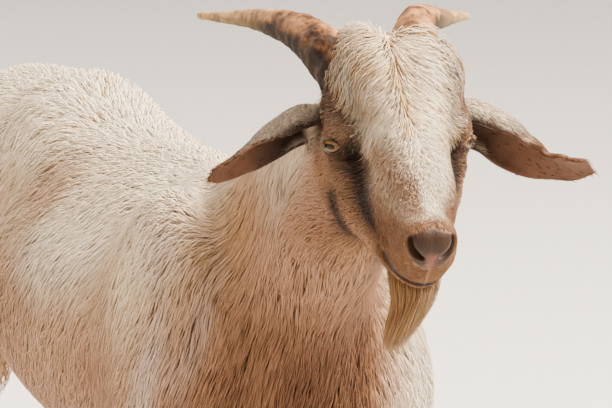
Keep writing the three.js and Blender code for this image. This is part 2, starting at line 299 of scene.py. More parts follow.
def lieOf(points, normals, where):
    # the way the hair lies, along the surface
    x = points[:, 0]
    top = smooth(0.55, 0.95, normals[:, 2])
    one = np.ones(len(points))
    flank = np.stack([0.25 * np.tanh(x / 60), 0.45 * one, -one], axis=1)
    back = np.stack([0.5 * np.tanh(x / 50), one, 0 * one], axis=1)
    neck = np.stack([0.15 * np.tanh(x / 40), 0.22 * one, -one], axis=1)
    lie = mix(flank, neck, where["neck"][:, None])
    lie = mix(lie, back, top[:, None])
    lie = mix(lie, np.array([0.0, 0.12, -1.0]), where["leg"][:, None])
    lie = mix(lie, np.array([0.0, 0.5, -1.0]), where["tail"][:, None])
    # on the face it runs from the middle outwards, and down towards the nose and jaw
    h = where["local"]
    out = np.tanh((h[:, 0] + 6 * smooth(15, 55, h[:, 2])) / 10.0)
    up = smooth(5, 62, h[:, 2])
    cheek = np.stack([out * 0.35, 0.75 * one, -0.8 * one], axis=1)
    spread = mix(0.62, 1.3, up) * (1 - 0.8 * smooth(24, 46, np.abs(h[:, 0])))
    brow = np.stack([out * spread, -0.35 * one, -mix(1.0, 0.55, up)], axis=1)
    nose = np.stack([out * 0.55, -0.8 * one, -0.55 * one], axis=1)
    front = smooth(1.15, 0.85, np.abs(h[:, 0]) / np.interp(h[:, 1], *zip(*blazeEdge)))
    front *= smooth(-34, -10, h[:, 2] + 0.2 * (h[:, 1] + 60))
    front = np.maximum(front, smooth(30, 52, h[:, 2]))
    face = mix(cheek, brow, front[:, None])
    face = mix(face, nose, smooth(-45, -80, h[:, 1])[:, None])
    lie = mix(lie, face @ headTurn.T, where["head"][:, None])
    bend = mix(0.10, 0.24, where["crown"])[:, None]
    swirl = np.stack([ripple(points, 95, 1), ripple(points, 110, 2), ripple(points, 100, 3)], 1)
    curl = np.stack([ripple(points, 34, 4), ripple(points, 38, 5), ripple(points, 36, 7)], 1)
    lie = unit(lie) + 0.17 * swirl + bend * curl
    lie -= normals * np.sum(lie * normals, axis=1, keepdims=True)
    return unit(lie)


# ---- markings and painted light and shade: one set of colours for the skin and the coat ----

shades = {
    "cream": (0.86, 0.66, 0.44), "white": (0.96, 0.81, 0.62), "tan": (0.46, 0.24, 0.10),
    "gold": (0.62, 0.34, 0.12), "flank": (0.40, 0.205, 0.118), "chest": (0.085, 0.032, 0.013),
    "neck": (0.42, 0.205, 0.108), "stripe": (0.008, 0.003, 0.0014), "cheek": (0.29, 0.145, 0.078),
    "muzzle": (0.185, 0.086, 0.040), "nose": (0.036, 0.0165, 0.0085), "beard": (0.23, 0.110, 0.038),
    "leg": (0.48, 0.29, 0.15), "lid": (0.028, 0.015, 0.010), "earInside": (0.095, 0.036, 0.015),
    "earDeep": (0.022, 0.010, 0.006), "earOutside": (0.46, 0.36, 0.27),
    "earTip": (0.12, 0.052, 0.024), "dusk": (0.085, 0.038, 0.018),
    "pale": (0.68, 0.52, 0.43),
    "lip": (0.022, 0.009, 0.006), "redden": (0.20, 0.065, 0.038), "socket": (0.012, 0.006, 0.004),
}
shades = {name: np.array(value) for name, value in shades.items()}


def paint(colour, name, amount):
    amount = np.clip(amount, 0, 1)[:, None]
    return mix(colour, shades[name], amount)


def lineDistance(points, path):
    # the distance from each point to a polyline, seen in the head's own Y and Z
    best = np.full(len(points), 1e6)
    for a, b in zip(path, path[1:]):
        a, b = np.array(a, float), np.array(b, float)
        share = np.clip((points - a) @ (b - a) / ((b - a) @ (b - a)), 0, 1)
        best = np.minimum(best, np.linalg.norm(points - a - share[:, None] * (b - a), axis=1))
    return best


def ontoFace(path):
    # the head's own path, made dense and moved to the face's surface
    dense = curveAt(path, np.linspace(0, 1, len(path) * 4))
    places = fromHead(dense)
    for _ in range(5):
        value = fleshField(places)
        slope = slopeOf(fleshField, places, value)
        step = (value + coatDepth(places)) / np.maximum(np.sum(slope * slope, axis=1), 0.3)
        places -= slope * step[:, None]
    return bent(toHead(places))


facePaths = {name: ontoFace(path) for name, path in {
    "tear": [(50, -4, -3), (47, -13, -5), (43, -22, -7), (40, -31, -11), (39, -40, -18),
             (37, -50, -28), (34, -57, -38)],
    "brow": [(57, 36, 36), (52, 20, 42), (49, 10, 42), (46, -4, 28), (43, -13, 14), (44, -17, 0)],
    "temple": [(58, 27, 46), (60, 32, 25), (60, 42, 5), (58, 50, -13)],
    "jaw": [(53, -8, -50), (50, -9, -60), (47, -9, -68), (42, -9, -77), (37, -8, -84), (30, -7, -93),
            (22, -4, -101), (15, 0, -109), (8, 6, -119)],
    "nostril": [(14.5, -125, -15), (13.8, -128, -20), (11.2, -130, -24), (7.6, -132, -27.3),
                (4.6, -132, -29.0)],
    "mouth": [(0, -121.5, -60.5), (5.5, -120, -60.6), (11, -117, -60.5), (16, -110, -60.8),
              (20, -101, -60.4), (24, -91, -59), (27, -80, -58)],
}.items()}
blazeEdge = [(-118, 14), (-90, 22), (-73, 28), (-49, 33), (-22, 38), (-5, 44), (11, 47), (24, 44), (60, 44)]
padEdge = [(-42.5, 0), (-40, 5), (-37, 10), (-33, 15), (-27, 19), (-20, 21), (-13, 19.5),
           (-9, 14), (-7, 8), (-5.5, 0)]


def pathDistance(m, name):
    return lineDistance(m, facePaths[name])


def markingsAndPaintedLight(points, where=None):
    w = regions(points) if where is None else where
    x, y, z = points.T
    patch = ripple(points, 160, 4)
    fine = ripple(points, 38, 6)
    colour = np.tile(shades["cream"], (len(points), 1))
    # painted light and shade: the top of the back painted white where sunlight falls, the lower body and soft
    # patches on the flank painted pinkish brown as shade
    back = smooth(560, 640, z + 14 * patch)
    colour = paint(colour, "flank", 0.9 * smooth(575, 470, z + 30 * patch))
    colour = paint(colour, "flank", 0.55 * smooth(0.0, 0.8, ripple(points, 210, 2)) * (1 - 0.6 * back))
    colour = paint(colour, "white", 0.85 * back)
    # a painted sunlit white patch across the middle of the body, and a painted shadow patch farther back
    colour = paint(colour, "white", 0.8 * lobe(points * (0, 1, 1), (0, -50, 556), (1, 120, 50)))
    colour = paint(colour, "flank", 0.6 * lobe(points * (0, 1, 1), (0, 52, 590), (1, 60, 44)))
    colour = paint(colour, "tan", 0.30 * smooth(0.1, 0.9, patch) * (1 - back))
    bands = ripple(points * (1, 1, 0.12), 62, 3) * smooth(-170, -240, y) * smooth(640, 590, z)
    bands *= smooth(46, 82, np.abs(x))
    front = smooth(-200, -300, y)
    colour = paint(colour, "neck", 0.9 * front * smooth(715, 640, z + 20 * patch))
    # painted light: a gold patch at the base of the neck, as sunlight warming the hair
    colour = paint(colour, "gold", 0.35 * lobe(points * (0, 1, 1), (0, -285, 622), (1, 60, 60)))
    # painted shade: soft up-and-down pinkish-grey bands on the sides of the neck and shoulders
    colour = paint(colour, "pale", 0.7 * smooth(0.05, 0.7, bands))
    # painted shadow: the head's cast shadow painted dark brown down the middle of the chest
    colour = paint(colour, "chest", 0.9 * smooth(-280, -355, y + 16 * fine) * smooth(620, 500, z)
                   * smooth(70, 30, x))
    # painted light: the goat's left side of the chest painted white where the sun falls on it
    colour = paint(colour, "white", 0.9 * smooth(66, 92, x + 5 * fine) * smooth(-150, -260, y)
                   * smooth(600, 540, z))
    colour = paint(colour, "leg", w["leg"] * 0.8)
    # darker brown low on the legs, their own colour
    colour = paint(colour, "chest", 0.6 * w["leg"] * smooth(215, 150, z + 12 * fine))
    # the head
    h = w["local"]
    m = bent(h)
    face = np.tile(shades["cheek"], (len(points), 1))
    face = mix(face, shades["muzzle"], (0.8 * smooth(-50, -95, m[:, 1]))[:, None])
    face = paint(face, "tan", 0.30 * smooth(0.1, 0.9, fine))
    blazeWidth = np.interp(m[:, 1], *zip(*blazeEdge)) + 3 * fine
    blaze = smooth(1.1, 0.86, m[:, 0] / blazeWidth)
    blaze *= smooth(-30, -8, m[:, 2] + 0.20 * (m[:, 1] + 60)) * smooth(-122, -104, m[:, 1])
    face = paint(face, "cheek", 0.5 * smooth(30, 45, m[:, 2]))
    face = paint(face, "white", 0.94 * blaze)
    # painted shade: on the goat's right side the white blaze is painted cheek brown, as the shaded side of the
    # face
    edge = np.interp(m[:, 1], (-95, -70, -45, -25), (3, 8, 20, 36))
    side = smooth(-5, 5, -h[:, 0] - edge + 4 * fine)
    face = paint(face, "cheek", 0.85 * blaze * side)
    below = smooth(-78, -104, m[:, 1] + 5 * fine) * smooth(5, 15, np.abs(h[:, 0] - 3))
    face = paint(face, "muzzle", 0.85 * blaze * below)
    parted = smooth(6, 1.5, np.abs(h[:, 0] + 6 + 2 * fine)) * smooth(25, 42, m[:, 2])
    face = paint(face, "gold", 0.75 * parted)
    streak = ripple(np.c_[h[:, 0] * 1.6, h[:, 1] * 0.5, h[:, 2] * 0.7], 22, 8)
    face = paint(face, "gold", 0.9 * blaze * smooth(-0.1, 0.9, streak) * smooth(-80, 0, m[:, 1]))
    face = paint(face, "dusk", 0.6 * smooth(34.0, 12.0, pathDistance(m, "tear") + 3 * fine) * (1 - blaze))
    low = mix(0.5, 0.97, smooth(-8, -30, m[:, 1]))
    face = paint(face, "stripe", low * smooth(17.0, 7.0, pathDistance(m, "tear") + 1.2 * fine))
    face = paint(face, "stripe", 0.85 * smooth(15.0, 5.0, pathDistance(m, "brow") + 1.5 * fine))
    face = paint(face, "stripe", 0.88 * smooth(24.0, 9.0, pathDistance(m, "temple") + 2 * fine))
    face = paint(face, "beard", 0.8 * smooth(-64, -74, m[:, 2]) * smooth(-50, -80, m[:, 1]))
    face = paint(face, "stripe", 0.4 * lobe(m, eyePlace + eyeAxis * 10, (22, 24, 15)))
    speckle = ripple(h, 9, 3)
    face = paint(face, "dusk", (0.8 + 0.35 * speckle) * lobe(m, (55, 16, 24), (24, 38, 32)))
    face = paint(face, "tan", 0.6 * lobe(m, (12, -112, -68), (22, 26, 8)))
    colour = mix(colour, face, w["head"][:, None])
    # painted shadow along the jaw's edge where it meets the neck: a soft dark band and a dark line
    colour = paint(colour, "dusk", 0.35 * smooth(26.0, 8.0, pathDistance(m, "jaw") + 3 * fine))
    return paint(colour, "stripe", 0.97 * smooth(13.0, 7.5, pathDistance(m, "jaw") + fine))


# ---- mesh helpers ----

def coordsOf(mesh):
    flat = np.empty(len(mesh.vertices) * 3)
    mesh.vertices.foreach_get("co", flat)
    return flat.reshape(-1, 3)


def setCoords(mesh, coords):
    mesh.vertices.foreach_set("co", np.ascontiguousarray(coords, dtype=float).ravel())
    mesh.update()


def vertexNormals(mesh):
    flat = np.empty(len(mesh.vertices) * 3)
    mesh.vertex_normals.foreach_get("vector", flat)
    return flat.reshape(-1, 3)


def setColour(mesh, colours, name="coatColour"):
    layer = mesh.color_attributes.get(name) or mesh.color_attributes.new(name, "FLOAT_COLOR", "POINT")
    values = np.c_[colours, np.ones(len(colours))]
    layer.data.foreach_set("color", np.ascontiguousarray(values, dtype=float).ravel())


def setValue(mesh, values, name):
    layer = mesh.attributes.get(name) or mesh.attributes.new(name, "FLOAT", "POINT")
    layer.data.foreach_set("value", np.ascontiguousarray(values, dtype=float))


def newPiece(name, mesh, material, slot, *replaced, smoothShade=True):
    piece = bpy.data.objects.new(name, mesh)
    bpy.context.scene.collection.objects.link(piece)
    mesh.materials.clear()
    mesh.materials.append(material)
    mesh.polygons.foreach_set("use_smooth", [smoothShade] * len(mesh.polygons))
    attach(piece, "root")
    if replaced:
        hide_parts(*replaced)
    return piece


def applied(thing):
    # the mesh that a scratch object's modifiers make, with the object thrown away
    mesh = bpy.data.meshes.new_from_object(thing.evaluated_get(bpy.context.evaluated_depsgraph_get()))
    bpy.data.objects.remove(thing)
    return mesh


def scratch(name, mesh):
    thing = bpy.data.objects.new(name, mesh)
    bpy.context.scene.collection.objects.link(thing)
    return thing


def relax(mesh, weight, rounds):
    # evens out a mesh by moving vertices towards their neighbours' middle
    edges = np.empty(len(mesh.edges) * 2, dtype=int)
    mesh.edges.foreach_get("vertices", edges)
    a, b = edges.reshape(-1, 2).T
    coords = coordsOf(mesh)
    count = np.bincount(a, minlength=len(coords)) + np.bincount(b, minlength=len(coords))
    for _ in range(rounds):
        middle = np.empty_like(coords)
        for axis in range(3):
            middle[:, axis] = (np.bincount(a, coords[b, axis], len(coords))
                               + np.bincount(b, coords[a, axis], len(coords)))
        coords += (middle / count[:, None] - coords) * weight[:, None]
    setCoords(mesh, coords)


# ---- materials ----

class NodeBook:
    # a small helper to lay out one material's nodes
    def __init__(self, name):
        self.material = bpy.data.materials.new(name)
        self.material.use_nodes = True
        self.tree = self.material.node_tree
        self.shader = self.tree.nodes["Principled BSDF"]

    def node(self, kind, **settings):
        made = self.tree.nodes.new("ShaderNode" + kind)
        for key, value in settings.items():
            if key in made.bl_rna.properties:
                setattr(made, key, value)
            else:
                made.inputs[key.replace("_", " ")].default_value = value
        return made

    def link(self, source, target):
        self.tree.links.new(source, target)

    def attribute(self, name, output="Color"):
        return self.node("Attribute", attribute_name=name).outputs[output]

    def spot(self, scale=(1, 1, 1)):
        place = self.node("TexCoord")
        move = self.node("Mapping")
        move.inputs["Scale"].default_value = scale
        self.link(place.outputs["Object"], move.inputs["Vector"])
        return move.outputs["Vector"]

    def noise(self, scale, detail=4.0, roughness=0.6, stretch=(1, 1, 1), where=None):
        made = self.node("TexNoise", Scale=scale, Detail=detail, Roughness=roughness)
        self.link(self.spot(stretch) if where is None else where, made.inputs["Vector"])
        return made.outputs["Fac"]

    def ramp(self, source, stops):
        made = self.node("ValToRGB")
        elements = made.color_ramp.elements
        while len(elements) < len(stops):
            elements.new(0.5)
        for element, (place, colour) in zip(elements, stops):
            element.position = place
            element.color = (*colour, 1) if len(colour) == 3 else colour
        self.link(source, made.inputs["Fac"])
        return made.outputs["Color"]

    def range(self, source, low, high, fromLow=0.0, fromHigh=1.0):
        made = self.node("MapRange")
        for key, value in (("From Min", fromLow), ("From Max", fromHigh),
                           ("To Min", low), ("To Max", high)):
            made.inputs[key].default_value = value
        self.link(source, made.inputs["Value"])
        return made.outputs["Result"]

    def blendColour(self, first, second, share, kind="MIX"):
        made = self.node("Mix", data_type="RGBA", blend_type=kind)
        for source, key in ((first, 6), (second, 7), (share, 0)):
            if isinstance(source, (int, float)):
                made.inputs[key].default_value = source
            elif isinstance(source, tuple):
                made.inputs[key].default_value = (*source, 1)
            else:
                self.link(source, made.inputs[key])
        return made.outputs[2]

    def maths(self, operation, first, second):
        made = self.node("Math", operation=operation)
        for index, source in enumerate((first, second)):
            if isinstance(source, (int, float)):
                made.inputs[index].default_value = source
            else:
                self.link(source, made.inputs[index])
        return made.outputs[0]

    def bump(self, height, strength, distance, under=None):
        made = self.node("Bump", Strength=strength, Distance=distance)
        self.link(height, made.inputs["Height"])
        if under is not None:
            self.link(under, made.inputs["Normal"])
        return made.outputs["Normal"]

    def finish(self, colour, roughness=None, normal=None, **sockets):
        self.link(colour, self.shader.inputs["Base Color"])
        if roughness is not None:
            self.link(roughness, self.shader.inputs["Roughness"])
        if normal is not None:
            self.link(normal, self.shader.inputs["Normal"])
        for key, value in sockets.items():
            self.shader.inputs[key.replace("_", " ")].default_value = value
        return self.material


skinFinish = {"hairScale": 900, "poreScale": 1500, "hairDepth": 0.0006}


def skinMaterial():
    book = NodeBook("goatSkin")
    base = book.attribute("coatColour")
    wet = book.attribute("bare", "Fac")
    hairs = book.noise(skinFinish["hairScale"], 3, 0.7, (1, 1, 0.25))
    pores = book.noise(skinFinish["poreScale"], 2, 0.5)
    mottle = book.noise(60, 4, 0.6)
    shaded = book.blendColour(base, book.ramp(hairs, [(0.3, (0.55, 0.5, 0.45)), (0.65, (1, 1, 1))]),
                              0.6, "MULTIPLY")
    shaded = book.blendColour(shaded, book.ramp(mottle, [(0.3, (0.8, 0.76, 0.72)), (0.7, (1, 1, 1))]),
                              0.5, "MULTIPLY")
    relief = book.bump(hairs, 0.6, skinFinish["hairDepth"])
    relief = book.bump(pores, 0.35, 0.0004, relief)
    rough = book.range(wet, 0.75, 0.46)
    return book.finish(shaded, rough, relief, Specular_IOR_Level=0.2,
                       Subsurface_Weight=0.06, Subsurface_Scale=0.004)


hairFinish = {"streakScale": 5.5, "streakDepth": 0.0003}


def hairMaterial():
    book = NodeBook("goatHair")
    base = book.attribute("coatColour")
    strand = book.node("UVMap", uv_map="strand").outputs["UV"]
    stretch = book.node("Mapping")
    stretch.inputs["Scale"].default_value = (hairFinish["streakScale"], 0.35, 1)
    book.link(strand, stretch.inputs["Vector"])
    streaks = book.noise(1.0, 2, 0.6, where=stretch.outputs["Vector"])
    tone = book.ramp(streaks, [(0.25, (0.62, 0.56, 0.5)), (0.6, (1, 1, 1)), (0.8, (1.0, 1.0, 1.0))])
    shaded = book.blendColour(base, tone, 0.75, "MULTIPLY")
    patchy = book.noise(22, 3, 0.5)
    shaded = book.blendColour(shaded, book.ramp(patchy, [(0.3, (0.86, 0.82, 0.78)), (0.7, (1, 1, 1))]),
                              0.5, "MULTIPLY")
    relief = book.bump(streaks, 0.5, hairFinish["streakDepth"])
    rough = book.range(streaks, 0.45, 0.65)
    return book.finish(shaded, rough, relief, Specular_IOR_Level=0.14,
                       Subsurface_Weight=0.05, Subsurface_Scale=0.003)


hornFinish = {"flakeScale": 140, "ringScale": 60}


def hornMaterial():
    book = NodeBook("hornSheath")
    along = book.attribute("along", "Fac")
    under = book.attribute("under", "Fac")
    flakes = book.noise(hornFinish["flakeScale"], 6, 0.7)
    coarse = book.noise(38, 5, 0.65)
    colour = book.ramp(coarse, [(0.36, (0.026, 0.011, 0.006)), (0.44, (0.11, 0.042, 0.014)),
                                (0.53, (0.28, 0.120, 0.040)), (0.70, (0.46, 0.245, 0.10))])
    # painted shade: the horn's underside painted near black
    colour = book.blendColour(colour, (0.012, 0.007, 0.005), book.range(under, 0, 0.95))
    colour = book.blendColour(colour, (0.52, 0.32, 0.14), book.range(along, 0, 0.7, 0.5, 1.0))
    colour = book.blendColour(colour, book.ramp(flakes, [(0.38, (0.3, 0.24, 0.2)), (0.55, (1, 1, 1))]),
                              0.7, "MULTIPLY")
    relief = book.bump(coarse, 0.7, 0.0016)
    relief = book.bump(flakes, 0.8, 0.0008, relief)
    return book.finish(colour, book.range(flakes, 0.6, 0.85), relief, Specular_IOR_Level=0.16)


def hoofMaterial():
    book = NodeBook("hoofHorn")
    rings = book.noise(90, 3, 0.6, (1, 1, 5))
    fine = book.noise(500, 4, 0.6)
    colour = book.ramp(rings, [(0.3, (0.035, 0.025, 0.02)), (0.6, (0.11, 0.08, 0.06)),
                               (0.85, (0.22, 0.17, 0.12))])
    relief = book.bump(rings, 0.6, 0.001)
    relief = book.bump(fine, 0.3, 0.0003, relief)
    return book.finish(colour, book.range(fine, 0.38, 0.62), relief)


def eyeMaterial():
    book = NodeBook("eyeball")
    colour = book.attribute("irisColour")
    veins = book.noise(900, 3, 0.6)
    shaded = book.blendColour(colour, book.ramp(veins, [(0.3, (0.8, 0.75, 0.7)), (0.6, (1, 1, 1))]),
                              0.5, "MULTIPLY")
    return book.finish(shaded, book.range(veins, 0.08, 0.16), book.bump(veins, 0.05, 0.0002),
                       Coat_Weight=0.12, Coat_Roughness=0.02, Specular_IOR_Level=0.16)


def floorMaterial():
    book = NodeBook("studioFloor")
    grain = book.noise(60, 3, 0.5)
    colour = book.ramp(grain, [(0.3, (0.70, 0.68, 0.65)), (0.7, (0.74, 0.72, 0.69))])
    return book.finish(colour, book.range(grain, 0.7, 0.85), book.bump(grain, 0.1, 0.0005))


# ---- the skin ----

fleshNodes = ["head", "neck", "trunk", "tail"] + [
    f"{end}leg_{side}_{part}" for end in ("fore", "hind") for side in ("left", "right")
    for part in ("upper", "lower")]
earNodes = ["ear_left", "ear_right"]
skin = {"voxel": 0.0065, "nodeSwell": 0.0006}


def joinedFlesh():
    # the flesh nodes as one closed mesh with even faces
    bm = bmesh.new()
    for node in fleshNodes + ["eye_left", "eye_right"]:
        bm.from_mesh(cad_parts[node].data)
    bmesh.ops.remove_doubles(bm, verts=bm.verts, dist=1e-5)
    bm.normal_update()
    for vert in bm.verts:
        vert.co += vert.normal * skin["nodeSwell"]
    mesh = bpy.data.meshes.new("fleshScratch")
    bm.to_mesh(mesh)
    bm.free()
    thing = scratch("fleshScratch", mesh)
    remesh = thing.modifiers.new("even", "REMESH")
    remesh.mode = "VOXEL"
    remesh.voxel_size = skin["voxel"]
    return applied(thing)


def refine(mesh, wanted):
    # splits the faces whose middle is wanted, which makes a finer mesh there
    bm = bmesh.new()
    bm.from_mesh(mesh)
    bm.faces.ensure_lookup_table()
    middles = toGoat(np.array([face.calc_center_median() for face in bm.faces]))
    chosen = wanted(middles)
    edges = {edge for face, keep in zip(bm.faces, chosen) if keep for edge in face.edges}
    bmesh.ops.subdivide_edges(bm, edges=list(edges), cuts=1, use_grid_fill=True)
    bm.to_mesh(mesh)
    bm.free()


def nearEyes(h, reach):
    m = bent(h)
    return np.linalg.norm(m - (eyePlace + eyeAxis * 10), axis=1) < reach


def snapSkin(mesh, rounds):
    # puts the mesh at the coat's depth inside the flesh's outline
    points = toGoat(coordsOf(mesh))
    depth = coatDepth(points)
    for _ in range(rounds):
        value = fleshField(points)
        slope = slopeOf(fleshField, points, value)
        step = (-depth - value) / np.maximum(np.sum(slope * slope, axis=1), 0.3)
        points += slope * np.clip(step, -9, 9)[:, None]
    setCoords(mesh, toFrame(points))


def eyeAngles(h, side):
    # places around one eye: along the opening, up it, and out from the ball's centre
    centre = eyePlace * (side, 1, 1)
    axis = eyeAxis * (side, 1, 1)
    tilt = math.radians(lids["tilt"])
    level = unit(np.cross(plumb * (side, 1, 1), axis)) * -side
    above = unit(np.cross(axis, level)) * side
    above = above if above[2] > 0 else -above
    inner = level * math.cos(tilt) - above * math.sin(tilt)
    up = above * math.cos(tilt) + level * math.sin(tilt)
    q = h - centre
    far = np.linalg.norm(q, axis=1)
    onLid = (eyeball["radius"] + lids["thickness"]) / np.maximum(far, 1e-6)
    return q @ inner * onLid, q @ up * onLid, q @ axis, far, q, centre


def openingShare(u, v):
    # below 1 inside the almond of the opening
    u = u / lids["halfWidth"]
    bow = np.maximum(1 - np.abs(u) ** 2.2, 0.02)
    height = np.where(v > 0, lids["upper"], lids["lower"]) * bow ** 0.8
    return np.where(np.abs(u) < 1, np.abs(v) / height, 3 * np.abs(u))


def sculptEyes(h):
    radius = eyeball["radius"]
    for side in (1, -1):
        u, v, out, far, q, centre = eyeAngles(h, side)
        near = (out > 0) & (far < 30)
        share = openingShare(u, v)
        rim = 0.8 * np.exp(-((share - 1.25) / 0.22) ** 2) * smooth(1.3, 0.9, np.abs(u) / 13)
        over = np.maximum(far, radius + lids["thickness"]) + rim
        crease = np.exp(-((v - lids["upper"] - 4.2 + 0.03 * u * u) / 0.9) ** 2) * (np.abs(u) < 14)
        bag = np.exp(-((v + lids["lower"] + 3.6 - 0.03 * u * u) / 0.8) ** 2) * (np.abs(u) < 12)
        over -= 0.9 * crease + 0.6 * bag
        level = np.where(near, mix(radius - 3.0, over, smooth(0.9, 1.02, share)), far)
        duct = np.exp(-(((u - lids["halfWidth"] - 1.5) / 2.6) ** 2 + ((v + 0.6) / 1.0) ** 2)) * near
        level -= 1.4 * duct * (share > 1)
        h[:] = centre + q * (level / np.maximum(far, 1e-6))[:, None]
    return h


muzzleForm = {"nostrilDepth": 7.0, "mouthDepth": 3.6, "philtrumDepth": 1.4}


def sculptMuzzle(h, normals):
    m = bent(h)
    nostril = pathDistance(m, "nostril")
    open_ = mix(1.8, 3.8, smooth(5, 14, m[:, 0]))
    inward = muzzleForm["nostrilDepth"] * smooth(1.0, 0.35, nostril / open_)
    wing = 0.35 * np.exp(-((nostril - 6.0) / 1.8) ** 2) * smooth(-112, -118, m[:, 1])
    mouth = pathDistance(m, "mouth")
    inward += muzzleForm["mouthDepth"] * smooth(2.4, 0.5, mouth)
    lipRoll = 0.6 * np.exp(-((mouth - 4.2) / 1.9) ** 2) * smooth(-70, -90, m[:, 1])
    philtrum = smooth(2.2, 0.5, np.abs(h[:, 0])) * smooth(-114, -120, m[:, 1])
    philtrum *= smooth(-59, -54, m[:, 2]) * smooth(-24, -32, m[:, 2])
    inward += muzzleForm["philtrumDepth"] * philtrum
    rim = nosePad(m)
    step = 0.35 * smooth(0.1, 0.9, rim)
    return h + normals * (wing + lipRoll + step - inward)[:, None]


def bareness(h):
    # the bare, damp skin of the nose and lips
    m = bent(h)
    lip = smooth(4, 2, pathDistance(m, "mouth"))
    return np.clip(np.maximum(nosePad(m), 0.3 * lip), 0, 1)


def nosePad(m):
    # the pad reaches round both nostrils and down to the upper lip's cleft
    half = np.interp(m[:, 2], *zip(*padEdge))
    return smooth(1.0, -1.4, m[:, 0] - half) * smooth(-104, -110, m[:, 1])


ears = {"thickness": 3.0, "across": 26, "along": 44}
midribs = {
    "left": [(44, 62, -4), (72, 66, -6), (100, 61, -18), (121, 51, -33), (140, 39, -43),
             (158, 26, -43), (174, 15, -38)],
    "right": [(-42, 62, -2), (-68, 66, -4), (-92, 61, -15), (-112, 52, -28), (-130, 41, -35),
              (-150, 27, -37)],
}
earWidths = [(0, 25), (0.25, 33), (0.45, 29), (0.7, 24), (0.9, 24), (1, 19)]


def earPoint(name, across, share, lift=0.0):
    # a place on the ear's inner face; across is -1 at the upper rim and 1 at the lower
    side = 1 if name == "left" else -1
    rib = np.array(midribs[name], float) * (side, 1, 1)
    middle = curveAt(rib, share)
    along = unit(curveAt(rib, share + 0.01) - curveAt(rib, share - 0.01))
    opening = unit(np.array((0.12, -0.9, -0.42)))
    inward = unit(opening - along * (along @ opening)[..., None])
    upward = -np.cross(inward, along)
    open_ = smooth(0.35, 0.85, share)
    upper = across < 0
    curl = np.where(upper, mix(2.1, 0.5, open_), mix(1.5, 0.35, open_))
    width = np.interp(share, *zip(*earWidths)) * np.where(upper, mix(1.4, 1, open_), 1)
    angle = across * curl
    radius = width / curl
    level = radius - lift
    spot = (middle + upward * (level * np.sin(angle))[..., None]
            + inward * (radius - level * np.cos(angle))[..., None])
    out = -(upward * np.sin(angle)[..., None] - inward * np.cos(angle)[..., None])
    return spot * (side, 1, 1), out * (side, 1, 1), along * (side, 1, 1)


def earMesh(name):
    bm = bmesh.new()
    bmesh.ops.create_grid(bm, x_segments=ears["across"], y_segments=ears["along"], size=1)
    bm.verts.ensure_lookup_table()
    grid = np.array([vert.co[:2] for vert in bm.verts])
    across, share = grid[:, 0], (grid[:, 1] + 1) / 2
    share = 0.03 + 0.97 * share
    wavy = 0.6 * np.sin(share * 26 + across * 2) * np.abs(across) ** 3
    spot, out, _ = earPoint(name, across, share, -wavy)
    rounded = smooth(0.8, 1.0, share)
    tip, _, _ = earPoint(name, across * 0, share)
    spot = mix(spot, mix(tip, spot, 0.75), rounded[:, None] * np.abs(across)[:, None] ** 2)
    for vert, place in zip(bm.verts, toFrame(fromHead(spot))):
        vert.co = place
    bmesh.ops.recalc_face_normals(bm, faces=bm.faces)
    bmesh.ops.solidify(bm, geom=bm.faces[:], thickness=ears["thickness"] / 1000)
    bmesh.ops.remove_doubles(bm, verts=bm.verts, dist=1e-5)
    bmesh.ops.recalc_face_normals(bm, faces=bm.faces)
    mesh = bpy.data.meshes.new("ear_" + name)
    bm.to_mesh(mesh)
    bm.free()
    return mesh


def makeSkin():
    mesh = joinedFlesh()
    headOnly = lambda p: regions(p)["head"] > 0.5
    refine(mesh, headOnly)
    snapSkin(mesh, 4)
    refine(mesh, lambda p: (toHead(p)[:, 1] < -82) & headOnly(p) | nearEyes(toHead(p), 27))
    def fine(p):
        h = toHead(p)
        m = bent(h)
        return nearEyes(h, 19) | (pathDistance(m, "nostril") < 9) | (pathDistance(m, "mouth") < 5)

    refine(mesh, fine)
    snapSkin(mesh, 3)
    relax(mesh, np.full(len(mesh.vertices), 0.35), 3)
    normals = vertexNormals(mesh) @ headTurn
    h = sculptMuzzle(toHead(toGoat(coordsOf(mesh))), normals)
    setCoords(mesh, toFrame(fromHead(sculptEyes(h))))
    print("skin sculpted:", len(mesh.vertices), "vertices")
    thing = scratch("skinScratch", mesh)
    for name in ("left", "right"):
        ear = scratch("earScratch_" + name, earMesh(name))
        union = thing.modifiers.new("ear", "BOOLEAN")
        union.object = ear
        union.operation = "UNION"
        union.solver = "MANIFOLD"
    whole = applied(thing)
    for name in ("left", "right"):
        bpy.data.objects.remove(bpy.data.objects["earScratch_" + name])
    whole.name = "skin"
    points = toGoat(coordsOf(whole))
    where = regions(points)
    earShare = nearEar(points)
    colours = markingsAndPaintedLight(points, where)
    h = where["local"]
    m = bent(h)
    colours = mix(colours, shades["nose"], nosePad(m)[:, None])
    colours = paint(colours, "redden", 0.7 * nosePad(m) * smooth(7, 2, m[:, 0])
                    * smooth(-20, -30, m[:, 2]))
    # painted shade: the mouth's crease painted near black
    colours = paint(colours, "lip", 0.95 * smooth(5.6, 3.2, pathDistance(m, "mouth")))
    # painted shade: the insides of the nostrils painted near black
    slit = pathDistance(m, "nostril") / mix(1.8, 3.8, smooth(5, 14, m[:, 0]))
    colours = paint(colours, "socket", where["head"] * smooth(1.0, 0.5, slit))
    for side in (1, -1):
        u, v, out, far, _, _ = eyeAngles(h, side)
        share = openingShare(u, v)
        lidEdge = smooth(2.3, 1.5, share) * (out > 0) * (far < 24)
        duct = np.exp(-(((u - lids["halfWidth"] - 2.5) / 4.0) ** 2 + ((v + 0.8) / 1.6) ** 2))
        colours = paint(colours, "lid", np.maximum(lidEdge, duct * (far < 30)))
    colours = earColours(points, vertexNormals(whole), colours, earShare)
    setColour(whole, colours)
    setValue(whole, np.maximum(bareness(h) * where["head"], 0.25 * earShare), "bare")
    return whole


def nearEar(points):
    h = toHead(points)
    beyond = smooth(58, 68, np.abs(h[:, 0])) * smooth(130, 100, np.abs(h[:, 1] - 40))
    return beyond * smooth(90, 70, np.abs(h[:, 2])) * (points[:, 1] < -360)


